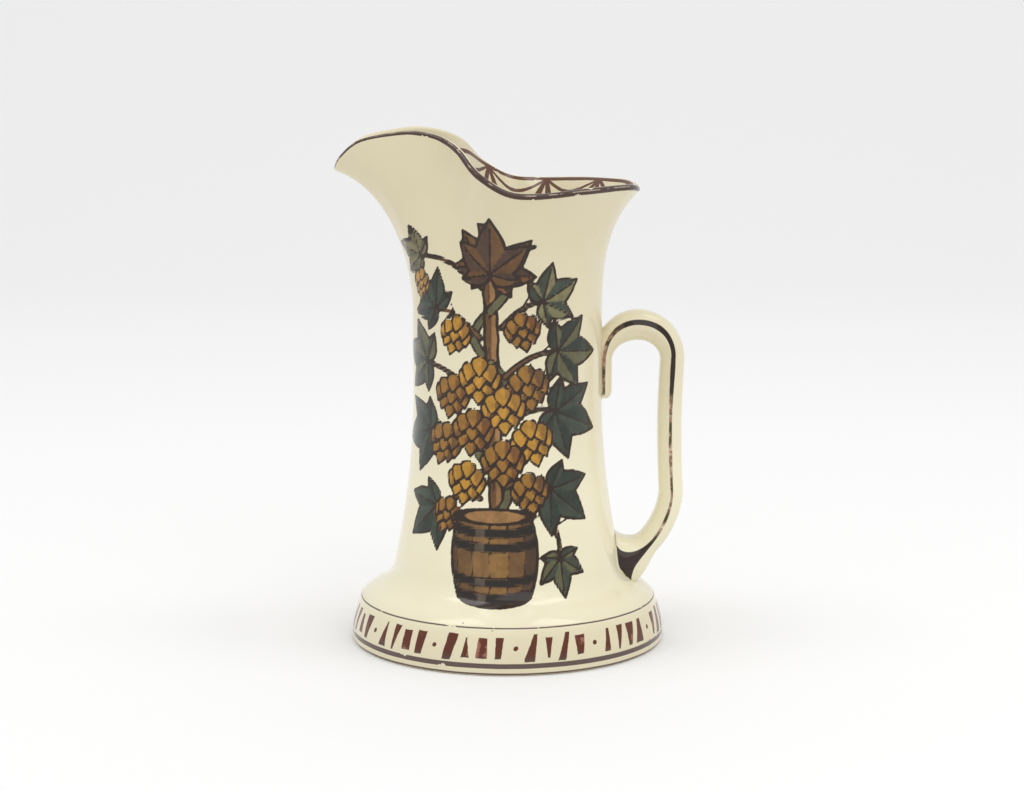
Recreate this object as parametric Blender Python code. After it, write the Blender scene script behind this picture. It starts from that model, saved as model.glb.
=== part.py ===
"""A glazed earthenware pitcher jug: spreading foot, straight body, drawn spout and strap handle.

The jug is one cast and fired piece, hollow and open at the mouth. Its origin is the centre
of the foot on the surface that it stands on, with the handle towards +X and the spout
towards -X.
"""

import math

import bmesh
import bpy
from mathutils import Vector

MM = 0.001

# Foot band: the upright ring at the bottom, leaning in as it rises
FOOT_RADIUS = 58.5 * MM
FOOT_WIDEST_HEIGHT = 4.5 * MM
FOOT_EDGE_ROUND = 1.2 * MM
FOOT_BAND_HEIGHT = 16.8 * MM
FOOT_BAND_LEAN = 3.3 * MM
FOOT_BAND_CURVE = 1.6

# Underside: a flat standing ring round a shallow recess
STAND_RING_WIDTH = 6.0 * MM
RECESS_DEPTH = 3.0 * MM
RECESS_SLOPE = 2.0 * MM

# Body: an ogee shoulder over the foot, then a sweep up into the straight neck
BASE_RADIUS = 42.1 * MM
BASE_HEIGHT = 31.0 * MM
SHOULDER_ROUND = 8.0 * MM
SHOULDER_HOLLOW = 9.5 * MM
NECK_RADIUS = 35.2 * MM
NECK_HEIGHT = 92.0 * MM
SWEEP_CURVE = 1.8

# Walls, in the even thickness that slip casting leaves
WALL = 4.2 * MM
LIP_THICKNESS = 2.6 * MM
FLOOR_THICKNESS = 5.0 * MM
FLOOR_FILLET = 3.0 * MM

# Mouth: the neck is drawn out into a boat shape, with a high curled spout at -X
MOUTH_START = 122.0 * MM
RIM_HEIGHT = 170.2 * MM
BACK_DROP = 1.2 * MM
CREST_RISE = 19.2 * MM
TIP_RISE = 6.4 * MM
BACK_REACH = 47.5 * MM
SIDE_REACH = 45.2 * MM
CREST_REACH = 41.8 * MM
SPOUT_REACH = 62.4 * MM
# Bearing from the handle in degrees, reach from the axis, height over the rim at the sides,
# outward lean in degrees
MOUTH_STATIONS = (
    (0, BACK_REACH, -BACK_DROP, 46),
    (15, BACK_REACH - 1.2 * MM, -BACK_DROP + 1.2 * MM, 46),
    (30, SIDE_REACH - 2.5 * MM, -BACK_DROP + 1.3 * MM, 44),
    (52, SIDE_REACH - 3.6 * MM, -BACK_DROP + 0.9 * MM, 40),
    (78, SIDE_REACH - 0.4 * MM, -1.1 * MM, 38),
    (90, SIDE_REACH, 0.0, 36),
    (103, SIDE_REACH - 2.7 * MM, CREST_RISE - 13.7 * MM, 30),
    (118, SIDE_REACH - 9.4 * MM, CREST_RISE - 5.6 * MM, 20),
    (135, CREST_REACH - 9.4 * MM, CREST_RISE - 1.8 * MM, 10),
    (150, CREST_REACH - 5.4 * MM, CREST_RISE + 0.2 * MM, 8),
    (158, CREST_REACH, CREST_RISE, 12),
    (166, SPOUT_REACH - 8.0 * MM, CREST_RISE - 2.8 * MM, 34),
    (173, SPOUT_REACH - 2.0 * MM, TIP_RISE + 4.4 * MM, 60),
    (180, SPOUT_REACH, TIP_RISE, 72),
)
MOUTH_BASE_PULL = 0.45
MOUTH_LIP_PULL = 0.35

# Handle: a ridged strap with its tail on the neck and its root on the shoulder
FINGER_GAP = 21.8 * MM
STRAP_THICKNESS = 8.6 * MM
STRAP_WIDTH = 16.0 * MM
GRIP_BOW = 0.8 * MM
STRAP_FLAT_SHARE = 0.58
STRAP_CROWN_SHARE = 1.08
ARCH_THICKNESS = 10.6 * MM
ARCH_TOP_HEIGHT = 123.9 * MM
TAIL_STAND_OFF = 0.5 * MM
TAIL_THICKNESS = 6.0 * MM
TAIL_TIP_THICKNESS = 4.4 * MM
TAIL_WIDTH = 14.0 * MM
TAIL_TIP_WIDTH = 9.0 * MM
TAIL_TAPER = 5.0
TAIL_TIP_HEIGHT = 91.4 * MM
BEND_HEIGHT = 56.0 * MM
BEND_CURVE = 1.15
ROOT_HEIGHT = 29.5 * MM
ROOT_THICKNESS = 19.6 * MM
ROOT_WIDTH = 21.0 * MM
ROOT_FLARE_START = 0.55
ROOT_FLARE_END = 0.92
WALL_BITE = 2.4 * MM

# Facets: how finely each stretch is divided
TURN_STEPS = 64
BAND_STEPS = 3
SHOULDER_STEPS = 6
SWEEP_STEPS = 6
MOUTH_STEPS = 9
LIP_STEPS = 4
TAIL_STEPS = 6
ARCH_STEPS = 14
GRIP_STEPS = 5
BEND_STEPS = 12
SMOOTH_ANGLE = math.radians(38)

GLAZE_COLOUR = (0.78, 0.71, 0.50, 1.0)
GLAZE_ROUGHNESS = 0.12


def clear_scene():
    """Remove every object, so that the script can be run again in one file."""
    for old in list(bpy.data.objects):
        bpy.data.objects.remove(old, do_unlink=True)


def bezier(start, pull_start, pull_end, end, share):
    """A point on a cubic Bezier curve, from four points of any dimension."""
    rest = 1 - share
    weights = (rest**3, 3 * rest * rest * share, 3 * rest * share * share, share**3)
    corners = (start, pull_start, pull_end, end)
    return tuple(sum(w * c[axis] for w, c in zip(weights, corners)) for axis in range(len(start)))


# Outline of the turned part


def edge_curve():
    """The rounded bottom edge of the foot, from the standing ring to the foot band."""
    centre = FOOT_RADIUS - FOOT_EDGE_ROUND
    angles = (-math.pi / 2, -math.pi / 4, 0.0)
    return [
        (centre + FOOT_EDGE_ROUND * math.cos(a), FOOT_EDGE_ROUND * (1 + math.sin(a))) for a in angles
    ]


def band_radius(height):
    """The outer radius of the foot band at a height."""
    rise = max(0.0, height - FOOT_WIDEST_HEIGHT) / (FOOT_BAND_HEIGHT - FOOT_WIDEST_HEIGHT)
    return FOOT_RADIUS - FOOT_BAND_LEAN * rise**FOOT_BAND_CURVE


def band_curve():
    """The foot band, from its widest ring to its top."""
    step = (FOOT_BAND_HEIGHT - FOOT_WIDEST_HEIGHT) / BAND_STEPS
    heights = [FOOT_WIDEST_HEIGHT + step * i for i in range(BAND_STEPS + 1)]
    return [(band_radius(z), z) for z in heights]


def sweep_radius(height):
    """The outer radius of the body between the shoulder and the neck."""
    drop = max(0.0, NECK_HEIGHT - height) / (NECK_HEIGHT - BASE_HEIGHT)
    return NECK_RADIUS + (BASE_RADIUS - NECK_RADIUS) * drop**SWEEP_CURVE


def shoulder_curve():
    """The ogee that rolls over the foot band and hollows up into the body."""
    top = (band_radius(FOOT_BAND_HEIGHT), FOOT_BAND_HEIGHT)
    base = (BASE_RADIUS, BASE_HEIGHT)
    pull_top = (top[0] - SHOULDER_ROUND * 0.69, top[1] + SHOULDER_ROUND * 0.72)
    pull_base = (base[0] + SHOULDER_HOLLOW * 0.15, base[1] - SHOULDER_HOLLOW)
    shares = [i / SHOULDER_STEPS for i in range(1, SHOULDER_STEPS + 1)]
    return [bezier(top, pull_top, pull_base, base, share) for share in shares]


def sweep_curve():
    """The body from above the shoulder to the foot of the drawn mouth."""
    step = (NECK_HEIGHT - BASE_HEIGHT) / SWEEP_STEPS
    heights = [BASE_HEIGHT + step * i for i in range(1, SWEEP_STEPS + 1)]
    middle = (NECK_HEIGHT + MOUTH_START) / 2
    return [(sweep_radius(z), z) for z in heights + [middle, MOUTH_START]]


def offset_inwards(outline, depth):
    """The outline moved towards the axis by a depth, square to its own run."""
    moved = []
    for i, (radius, height) in enumerate(outline):
        before = outline[max(i - 1, 0)]
        after = outline[min(i + 1, len(outline) - 1)]
        run = (after[0] - before[0], after[1] - before[1])
        length = math.hypot(*run)
        moved.append((radius - depth * run[1] / length, height + depth * run[0] / length))
    return moved


def wall_radius(outline, height):
    """The radius of an outline, given from the bottom up, at a height."""
    for low, high in zip(outline, outline[1:]):
        if low[1] <= height <= high[1]:
            share = (height - low[1]) / (high[1] - low[1])
            return low[0] + (high[0] - low[0]) * share
    return outline[0][0] if height < outline[0][1] else outline[-1][0]


def outer_outline():
    """The outside of the jug below the mouth, from the bottom up."""
    return edge_curve() + band_curve() + shoulder_curve() + sweep_curve()


def inner_outline():
    """The inside of the jug below the mouth, from the top down to the floor."""
    floor = RECESS_DEPTH + FLOOR_THICKNESS
    wall = offset_inwards(outer_outline(), WALL)
    upper = [(r, z) for r, z in wall if z > floor + FLOOR_FILLET]
    foot = wall_radius(wall, floor + FLOOR_FILLET)
    corner = [(foot, floor + FLOOR_FILLET), (foot - FLOOR_FILLET * 0.3, floor + FLOOR_FILLET * 0.3)]
    return list(reversed(upper)) + corner + [(foot - FLOOR_FILLET, floor), (0.0, floor)]


def underside():
    """The recess and the standing ring, from the axis outwards."""
    ring = FOOT_RADIUS - FOOT_EDGE_ROUND - STAND_RING_WIDTH
    return [(0.0, RECESS_DEPTH), (ring - RECESS_SLOPE, RECESS_DEPTH), (ring, 0.0)]


# The mouth is modelled straight, and drawn out afterwards


def mouth_middle():
    """The radius of the middle of the wall in the straight neck."""
    return NECK_RADIUS - WALL / 2


def straight_mouth():
    """The neck's wall above the mouth's start: up outside, over the lip, and down inside."""
    rise = RIM_HEIGHT - MOUTH_START
    shares = [i / MOUTH_STEPS for i in range(1, MOUTH_STEPS + 1)]
    halves = [(share, (WALL + (LIP_THICKNESS - WALL) * share) / 2) for share in shares]
    outside = [(mouth_middle() + half, MOUTH_START + rise * share) for share, half in halves]
    inside = [(mouth_middle() - half, MOUTH_START + rise * share) for share, half in halves]
    turns = [math.pi * i / LIP_STEPS for i in range(1, LIP_STEPS)]
    half_lip = LIP_THICKNESS / 2
    lip = [
        (mouth_middle() + half_lip * math.cos(a), RIM_HEIGHT + half_lip * math.sin(a))
        for a in turns
    ]
    return outside + lip + list(reversed(inside))


def mouth_station(bearing):
    """Reach, rise and lean of the rim at a bearing, eased between the stations."""
    stations = MOUTH_STATIONS
    first, last = stations[0][0], stations[-1][0]
    mirrored = ((2 * first - stations[1][0],) + stations[1][1:],)
    mirrored += stations + ((2 * last - stations[-2][0],) + stations[-2][1:],)
    at = next(i for i in range(1, len(mirrored) - 2) if bearing <= mirrored[i + 1][0] + 1e-6)
    before, low, high, after = mirrored[at - 1 : at + 3]
    span = high[0] - low[0]
    share = (bearing - low[0]) / span
    values = []
    for k in (1, 2, 3):
        slope_low = (high[k] - before[k]) / (high[0] - before[0]) * span
        slope_high = (after[k] - low[k]) / (after[0] - low[0]) * span
        pulls = (low[k] + slope_low / 3,), (high[k] - slope_high / 3,)
        values.append(bezier((low[k],), pulls[0], pulls[1], (high[k],), share)[0])
    return values


def mouth_point(azimuth, share):
    """The middle of the drawn wall at an azimuth, a share of the way up to the rim."""
    bearing = math.degrees(abs(math.remainder(azimuth, 2 * math.pi)))
    reach, over_sides, lean = mouth_station(bearing)
    height = RIM_HEIGHT + over_sides
    rise = height - MOUTH_START
    lean = math.radians(lean)
    pull = MOUTH_LIP_PULL * rise
    start = (mouth_middle(), MOUTH_START)
    pull_start = (mouth_middle(), MOUTH_START + MOUTH_BASE_PULL * rise)
    pull_end = (reach - pull * math.sin(lean), height - pull * math.cos(lean))
    radius, z = bezier(start, pull_start, pull_end, (reach, height), share)
    return Vector((radius * math.cos(azimuth), radius * math.sin(azimuth), z))


def mouth_frame(azimuth, share):
    """The outward normal of the drawn wall and its direction up towards the rim."""
    turn, climb = 0.01, 0.005
    around = mouth_point(azimuth + turn, share) - mouth_point(azimuth - turn, share)
    low = max(share - climb, 0.0)
    high = min(share + climb, 1.0)
    up = (mouth_point(azimuth, high) - mouth_point(azimuth, low)).normalized()
    return around.cross(up).normalized(), up


def draw_out_mouth(mesh):
    """Move the straight neck's points out to the boat-shaped mouth and its spout."""
    for vert in mesh.verts:
        if vert.co.z <= MOUTH_START + 1e-7:
            continue
        azimuth = math.atan2(vert.co.y, vert.co.x)
        share = (vert.co.z - MOUTH_START) / (RIM_HEIGHT - MOUTH_START)
        over_rim = max(0.0, vert.co.z - RIM_HEIGHT)
        depth = math.hypot(vert.co.x, vert.co.y) - mouth_middle()
        share = min(share, 1.0)
        normal, up = mouth_frame(azimuth, share)
        vert.co = mouth_point(azimuth, share) + normal * depth + up * over_rim


def make_body():
    """The turned body, closed round its hollow, with the mouth drawn out."""
    outline = underside() + outer_outline() + straight_mouth() + inner_outline()
    mesh = bmesh.new()
    verts = [mesh.verts.new((radius, 0.0, height)) for radius, height in outline]
    edges = [mesh.edges.new(pair) for pair in zip(verts, verts[1:])]
    bmesh.ops.spin(
        mesh,
        geom=verts + edges,
        cent=(0, 0, 0),
        axis=(0, 0, 1),
        angle=2 * math.pi,
        steps=TURN_STEPS,
        use_merge=True,
    )
    bmesh.ops.remove_doubles(mesh, verts=mesh.verts, dist=1e-6)
    draw_out_mouth(mesh)
    bmesh.ops.recalc_face_normals(mesh, faces=mesh.faces)
    return mesh


# Handle


def grip_x():
    """How far from the axis the middle of the upright grip stands."""
    return NECK_RADIUS + FINGER_GAP + STRAP_THICKNESS / 2


def tail_path(tail_x, arch_z):
    """The tail's middle line, thinning and narrowing down to a tip that sinks to the wall."""
    path = []
    for i in range(TAIL_STEPS):
        share = (i / TAIL_STEPS) ** 1.6
        swell = math.sin(min(share * TAIL_TAPER, 1.0) * math.pi / 2)
        thickness = TAIL_TIP_THICKNESS + (TAIL_THICKNESS - TAIL_TIP_THICKNESS) * swell
        width = TAIL_TIP_WIDTH + (TAIL_WIDTH - TAIL_TIP_WIDTH) * swell
        x = tail_x - (TAIL_THICKNESS - thickness) / 2
        path.append((x, TAIL_TIP_HEIGHT + (arch_z - TAIL_TIP_HEIGHT) * share, thickness, width))
    return path


def handle_path():
    """The handle's middle line as (x, z, thickness, width), from the tail to the root."""
    tail_x = NECK_RADIUS + TAIL_STAND_OFF
    arch_radius = (grip_x() - tail_x) / 2
    arch_x = tail_x + arch_radius
    arch_z = ARCH_TOP_HEIGHT - ARCH_THICKNESS / 2 - arch_radius
    path = tail_path(tail_x, arch_z)
    for i in range(ARCH_STEPS + 1):
        share = i / ARCH_STEPS
        angle = math.pi * (1 - share)
        end = (TAIL_THICKNESS, TAIL_WIDTH) if share < 0.5 else (STRAP_THICKNESS, STRAP_WIDTH)
        swell = math.sin(angle) ** 1.5
        thickness = end[0] + (ARCH_THICKNESS - end[0]) * swell
        width = end[1] + (STRAP_WIDTH - end[1]) * swell
        x = arch_x + arch_radius * math.cos(angle)
        path.append((x, arch_z + arch_radius * math.sin(angle), thickness, width))
    for i in range(1, GRIP_STEPS):
        share = i / GRIP_STEPS
        x = grip_x() - GRIP_BOW * math.sin(math.pi * share)
        path.append((x, arch_z + (BEND_HEIGHT - arch_z) * share, STRAP_THICKNESS, STRAP_WIDTH))
    path.extend(bend_path())
    return path


def bend_path():
    """The quarter turn that brings the handle back in, spreading into its root."""
    root_x = sweep_radius(BASE_HEIGHT) - WALL_BITE / 2
    reach = grip_x() - root_x
    drop = BEND_HEIGHT - ROOT_HEIGHT
    path = []
    for i in range(BEND_STEPS + 1):
        share = i / BEND_STEPS
        angle = share * math.pi / 2
        spread = (share - ROOT_FLARE_START) / (ROOT_FLARE_END - ROOT_FLARE_START)
        spread = min(max(spread, 0.0), 1.0)
        spread = spread * spread * (3 - 2 * spread)
        thickness = STRAP_THICKNESS + (ROOT_THICKNESS - STRAP_THICKNESS) * spread
        width = STRAP_WIDTH + (ROOT_WIDTH - STRAP_WIDTH) * spread
        x = root_x + reach * math.cos(angle) ** BEND_CURVE
        z = BEND_HEIGHT - drop * math.sin(angle) ** BEND_CURVE
        path.append((x, z, thickness, width))
    return path


def strap_section(thickness, width):
    """The strap's section as (side, out) points: a ridge on each side, and crowned faces."""
    side, out = width / 2, thickness / 2
    flat = side * STRAP_FLAT_SHARE
    crown = out * STRAP_CROWN_SHARE
    return (
        (side, 0.0),
        (flat, out),
        (0.0, crown),
        (-flat, out),
        (-side, 0.0),
        (-flat, -out),
        (0.0, -crown),
        (flat, -out),
    )


def keep_in_wall(mesh):
    """Draw back what would reach through the wall, so that the handle only bites into it."""
    outline = outer_outline()
    for vert in mesh.verts:
        limit = wall_radius(outline, vert.co.z) - WALL_BITE
        inside = limit * limit - vert.co.y * vert.co.y
        nearest = math.sqrt(max(inside, 0.0))
        vert.co.x = max(vert.co.x, nearest)


def make_handle():
    """The strap handle as its own closed body, cut level so that its root can follow the ogee."""
    path = handle_path()
    mesh = bmesh.new()
    rings = []
    for i, (x, z, thickness, width) in enumerate(path):
        before = path[max(i - 1, 0)]
        after = path[min(i + 1, len(path) - 1)]
        run = Vector((after[0] - before[0], 0.0, after[1] - before[1])).normalized()
        out = Vector((-run.z, 0.0, run.x))
        points = strap_section(thickness, width)
        ring = [mesh.verts.new(Vector((x, side, z)) + out * off) for side, off in points]
        rings.append(ring)
    for low, high in zip(rings, rings[1:]):
        for k in range(len(low)):
            after = (k + 1) % len(low)
            mesh.faces.new((low[k], low[after], high[after], high[k]))
    mesh.faces.new(rings[0])
    mesh.faces.new(rings[-1])
    for _, height in shoulder_curve():
        geometry = mesh.verts[:] + mesh.edges[:] + mesh.faces[:]
        plane = (0.0, 0.0, height)
        bmesh.ops.bisect_plane(mesh, geom=geometry, dist=1e-6, plane_co=plane, plane_no=(0, 0, 1))
    keep_in_wall(mesh)
    bmesh.ops.recalc_face_normals(mesh, faces=mesh.faces)
    return mesh


# Joining and finish


def make_object(name, mesh):
    """Put a mesh in the scene as a named object."""
    data = bpy.data.meshes.new(name)
    mesh.to_mesh(data)
    mesh.free()
    placed = bpy.data.objects.new(name, data)
    bpy.context.collection.objects.link(placed)
    return placed


def glaze_material():
    """The cream glaze over the earthenware."""
    material = bpy.data.materials.new("cream_glaze")
    material.use_nodes = True
    shader = material.node_tree.nodes["Principled BSDF"]
    shader.inputs["Base Color"].default_value = GLAZE_COLOUR
    shader.inputs["Roughness"].default_value = GLAZE_ROUGHNESS
    shader.inputs["Metallic"].default_value = 0.0
    return material


def make_jug():
    """The whole jug: the handle is luted on and fired as one with the body."""
    jug = make_object("jug", make_body())
    handle = make_object("handle_tool", make_handle())
    handle.hide_render = True
    handle.display_type = "WIRE"
    luting = jug.modifiers.new("handle", "BOOLEAN")
    luting.operation = "UNION"
    luting.solver = "EXACT"
    luting.object = handle
    jug.data.materials.append(glaze_material())
    jug.data.shade_smooth()
    jug.data.set_sharp_from_angle(angle=SMOOTH_ANGLE)
    return jug


clear_scene()
make_jug()
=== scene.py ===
import math

import bmesh
import bpy
import numpy as np
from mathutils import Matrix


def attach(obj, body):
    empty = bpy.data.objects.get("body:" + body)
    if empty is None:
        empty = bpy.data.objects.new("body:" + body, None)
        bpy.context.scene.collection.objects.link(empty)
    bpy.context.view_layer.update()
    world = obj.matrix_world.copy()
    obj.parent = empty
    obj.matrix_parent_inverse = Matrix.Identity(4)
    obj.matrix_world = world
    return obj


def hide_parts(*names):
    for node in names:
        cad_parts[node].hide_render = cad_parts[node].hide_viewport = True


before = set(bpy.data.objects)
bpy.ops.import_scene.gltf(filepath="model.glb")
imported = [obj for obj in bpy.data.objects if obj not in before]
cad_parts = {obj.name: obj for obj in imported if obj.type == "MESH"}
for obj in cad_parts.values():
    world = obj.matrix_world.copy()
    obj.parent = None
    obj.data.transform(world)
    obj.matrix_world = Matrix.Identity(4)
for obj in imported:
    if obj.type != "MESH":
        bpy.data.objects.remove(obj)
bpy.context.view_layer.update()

# The body: foot, waisted body, neck and spout in one wall of cast earthenware, turned true
# below the neck and drawn out above it into a boat-shaped mouth. It is fired once with its
# handle, and a clear cream glaze covers all but the ring that it stood on in the kiln.

MM = 0.001

FOOT_RADIUS = 58.5 * MM
FOOT_WIDEST_HEIGHT = 4.5 * MM
FOOT_EDGE_ROUND = 1.2 * MM
FOOT_BAND_HEIGHT = 16.8 * MM
FOOT_BAND_LEAN = 3.3 * MM
FOOT_BAND_CURVE = 1.6

STAND_RING_WIDTH = 6.0 * MM
RECESS_DEPTH = 3.0 * MM
RECESS_SLOPE = 2.0 * MM
RECESS_ROUND = 0.5 * MM

BASE_RADIUS = 42.1 * MM
BASE_HEIGHT = 31.0 * MM
SHOULDER_ROUND = 8.0 * MM
SHOULDER_HOLLOW = 9.5 * MM
SHOULDER_ROUND_WAY = (-0.69, 0.72)
SHOULDER_HOLLOW_WAY = (0.15, -1.0)
NECK_RADIUS = 35.2 * MM
NECK_HEIGHT = 92.0 * MM
SWEEP_CURVE = 1.8

WALL = 4.2 * MM
LIP_THICKNESS = 2.6 * MM
FLOOR_HEIGHT = 8.0 * MM
FLOOR_RADIUS = 52.4 * MM
FLOOR_FILLET = 3.0 * MM
# The inside's curve from the base out to the floor's corner, as radius and height
INSIDE_CURVE = np.array(((38.8, 21.5), (47.5, 17.5), (51.4, 15.0))) * MM

MOUTH_START = 122.0 * MM
MOUTH_MIDDLE = NECK_RADIUS - WALL / 2
RIM_HEIGHT = 170.2 * MM
BACK_DROP = 1.2 * MM
CREST_RISE = 19.2 * MM
TIP_RISE = 6.4 * MM
BACK_REACH = 47.5 * MM
SIDE_REACH = 45.2 * MM
CREST_REACH = 41.8 * MM
SPOUT_REACH = 62.4 * MM
# Bearing from the handle in degrees, reach from the axis, height over the rim at the sides,
# outward lean in degrees
MOUTH_STATIONS = (
    (0, BACK_REACH, -BACK_DROP, 46),
    (15, BACK_REACH - 1.2 * MM, -BACK_DROP + 1.2 * MM, 46),
    (30, SIDE_REACH - 2.5 * MM, -BACK_DROP + 1.3 * MM, 44),
    (52, SIDE_REACH - 3.6 * MM, -BACK_DROP + 0.9 * MM, 40),
    (78, SIDE_REACH - 0.4 * MM, -1.1 * MM, 38),
    (90, SIDE_REACH, 0.0, 36),
    (103, SIDE_REACH - 2.7 * MM, CREST_RISE - 13.7 * MM, 30),
    (118, SIDE_REACH - 9.4 * MM, CREST_RISE - 5.6 * MM, 20),
    (135, CREST_REACH - 9.4 * MM, CREST_RISE - 1.8 * MM, 10),
    (150, CREST_REACH - 5.4 * MM, CREST_RISE + 0.2 * MM, 8),
    (158, CREST_REACH, CREST_RISE, 12),
    (166, SPOUT_REACH - 8.0 * MM, CREST_RISE - 2.8 * MM, 34),
    (173, SPOUT_REACH - 2.0 * MM, TIP_RISE + 4.4 * MM, 60),
    (180, SPOUT_REACH, TIP_RISE, 72),
)
MOUTH_BASE_PULL = 0.45
MOUTH_LIP_PULL = 0.35
# A small step, which tells which way the drawn wall runs
NUDGE = 0.01
FAR_FROM_RIM = -90.0 * MM

TURN_STEPS = 300
CLOSER_COLUMNS = 0.2
PRINT_TOP = 158.0 * MM
BORDER_FOOT = 160.0 * MM
RIM_LINES_HEIGHT = 167.5 * MM
# How far apart the wall's rings of points stand, closest where there is print or paint
FOOT_PITCH = 1.0 * MM
PRINT_PITCH = 0.74 * MM
NECK_PITCH = 1.2 * MM
RIM_PITCH = 0.45 * MM
BORDER_PITCH = 0.8 * MM
MOUTH_PITCH = 3.2 * MM
INSIDE_PITCH = 4.5 * MM


def steps(start, end, pitch):
    """Values from after the start up to the end, evenly spaced at about a pitch."""
    count = max(1, round(abs(end - start) / pitch))
    return [start + (end - start) * i / count for i in range(1, count + 1)]


def eased(start, pull_start, pull_end, end, share):
    """A point on a cubic Bezier curve."""
    rest = 1 - share
    first, last = rest**3 * start, share**3 * end
    return first + 3 * rest * rest * share * pull_start + 3 * rest * share**2 * pull_end + last


def foot_radius(height):
    """The outer radius of the foot band at a height."""
    rise = max(0.0, height - FOOT_WIDEST_HEIGHT) / (FOOT_BAND_HEIGHT - FOOT_WIDEST_HEIGHT)
    return FOOT_RADIUS - FOOT_BAND_LEAN * rise**FOOT_BAND_CURVE


def body_radius(height):
    """The outer radius of the body between the shoulder and the neck."""
    drop = max(0.0, NECK_HEIGHT - height) / (NECK_HEIGHT - BASE_HEIGHT)
    return NECK_RADIUS + (BASE_RADIUS - NECK_RADIUS) * drop**SWEEP_CURVE


def outside_outline():
    """The outside below the mouth, from the standing ring up."""
    centre = FOOT_RADIUS - FOOT_EDGE_ROUND
    turns = [(i / 5 - 1) * math.pi / 2 for i in range(6)]
    edge = [(centre + FOOT_EDGE_ROUND * math.cos(a), FOOT_EDGE_ROUND * (1 + math.sin(a))) for a in turns]
    band = [(foot_radius(z), z) for z in steps(FOOT_EDGE_ROUND, FOOT_BAND_HEIGHT, FOOT_PITCH)]
    top = np.array((foot_radius(FOOT_BAND_HEIGHT), FOOT_BAND_HEIGHT))
    base = np.array((BASE_RADIUS, BASE_HEIGHT))
    pull_top = top + SHOULDER_ROUND * np.array(SHOULDER_ROUND_WAY)
    pull_base = base + SHOULDER_HOLLOW * np.array(SHOULDER_HOLLOW_WAY)
    ogee = [tuple(eased(top, pull_top, pull_base, base, share)) for share in steps(0, 1, 1 / 26)]
    body = [(body_radius(z), z) for z in steps(BASE_HEIGHT, MOUTH_START, PRINT_PITCH)]
    return edge + band + ogee + body


def straight_mouth():
    """The neck's wall while it is still straight: up outside, over the lip, and down inside."""
    outside = steps(MOUTH_START, PRINT_TOP, PRINT_PITCH)
    outside += steps(PRINT_TOP, RIM_LINES_HEIGHT, NECK_PITCH)
    outside += steps(RIM_LINES_HEIGHT, RIM_HEIGHT, RIM_PITCH)
    inside = [RIM_HEIGHT] + steps(RIM_HEIGHT, RIM_LINES_HEIGHT, RIM_PITCH)
    inside += steps(RIM_LINES_HEIGHT, BORDER_FOOT, BORDER_PITCH)
    inside += steps(BORDER_FOOT, MOUTH_START, MOUTH_PITCH)

    def half(height):
        share = (height - MOUTH_START) / (RIM_HEIGHT - MOUTH_START)
        return (WALL + (LIP_THICKNESS - WALL) * share) / 2

    turns = [math.pi * i / 8 for i in range(1, 8)]
    lip = LIP_THICKNESS / 2
    crown = [(MOUTH_MIDDLE + lip * math.cos(a), RIM_HEIGHT + lip * math.sin(a)) for a in turns]
    up = [(MOUTH_MIDDLE + half(z), z) for z in outside]
    down = [(MOUTH_MIDDLE - half(z), z) for z in inside]
    return up + crown + down


def inside_outline():
    """The inside below the mouth, down the wall and across the floor to the axis."""
    wall = [(body_radius(z) - WALL, z) for z in steps(MOUTH_START, BASE_HEIGHT, INSIDE_PITCH)]
    start = np.array((BASE_RADIUS - WALL, BASE_HEIGHT))
    hollow = [tuple(eased(start, *INSIDE_CURVE, share)) for share in steps(0, 1, 1 / 7)]
    centre = FLOOR_RADIUS - FLOOR_FILLET
    turns = [math.pi / 2 * i / 4 for i in range(5)]
    corner = [
        (centre + FLOOR_FILLET * math.cos(a), FLOOR_HEIGHT + FLOOR_FILLET * (1 - math.sin(a)))
        for a in turns
    ]
    return wall + hollow + corner + [(r, FLOOR_HEIGHT) for r in (36 * MM, 18 * MM, 0.0)]


def underside():
    """The recess and the inner edge of the standing ring, from the axis out."""
    ring = FOOT_RADIUS - FOOT_EDGE_ROUND - STAND_RING_WIDTH
    slope = ring - RECESS_SLOPE
    flat = [(r, RECESS_DEPTH) for r in (0.0, 20 * MM, 40 * MM, slope - RECESS_ROUND)]
    upper = (slope + RECESS_ROUND * 0.5, RECESS_DEPTH - RECESS_ROUND * 0.75)
    lower = (ring - RECESS_ROUND * 0.5, RECESS_ROUND * 0.75)
    return flat + [upper, lower, (ring + RECESS_ROUND, 0.0)]


def rim_at(bearing):
    """Reach, rise and lean of the rim at bearings from the handle, eased between the stations."""
    rows = [list(row) for row in MOUTH_STATIONS]
    first, last = rows[1], rows[-2]
    rows = [[-first[0]] + first[1:]] + rows + [[360 - last[0]] + last[1:]]
    rows = np.array(rows)
    high = np.clip(np.searchsorted(rows[:, 0], bearing), 2, len(rows) - 2)
    before, low_row, high_row, after = (rows[high + step] for step in (-2, -1, 0, 1))
    span = high_row[:, :1] - low_row[:, :1]
    share = (bearing[:, None] - low_row[:, :1]) / span
    slope_low = (high_row - before) / (high_row[:, :1] - before[:, :1]) * span
    slope_high = (after - low_row) / (after[:, :1] - low_row[:, :1]) * span
    return eased(low_row, low_row + slope_low / 3, high_row - slope_high / 3, high_row, share)[:, 1:].T


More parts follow.
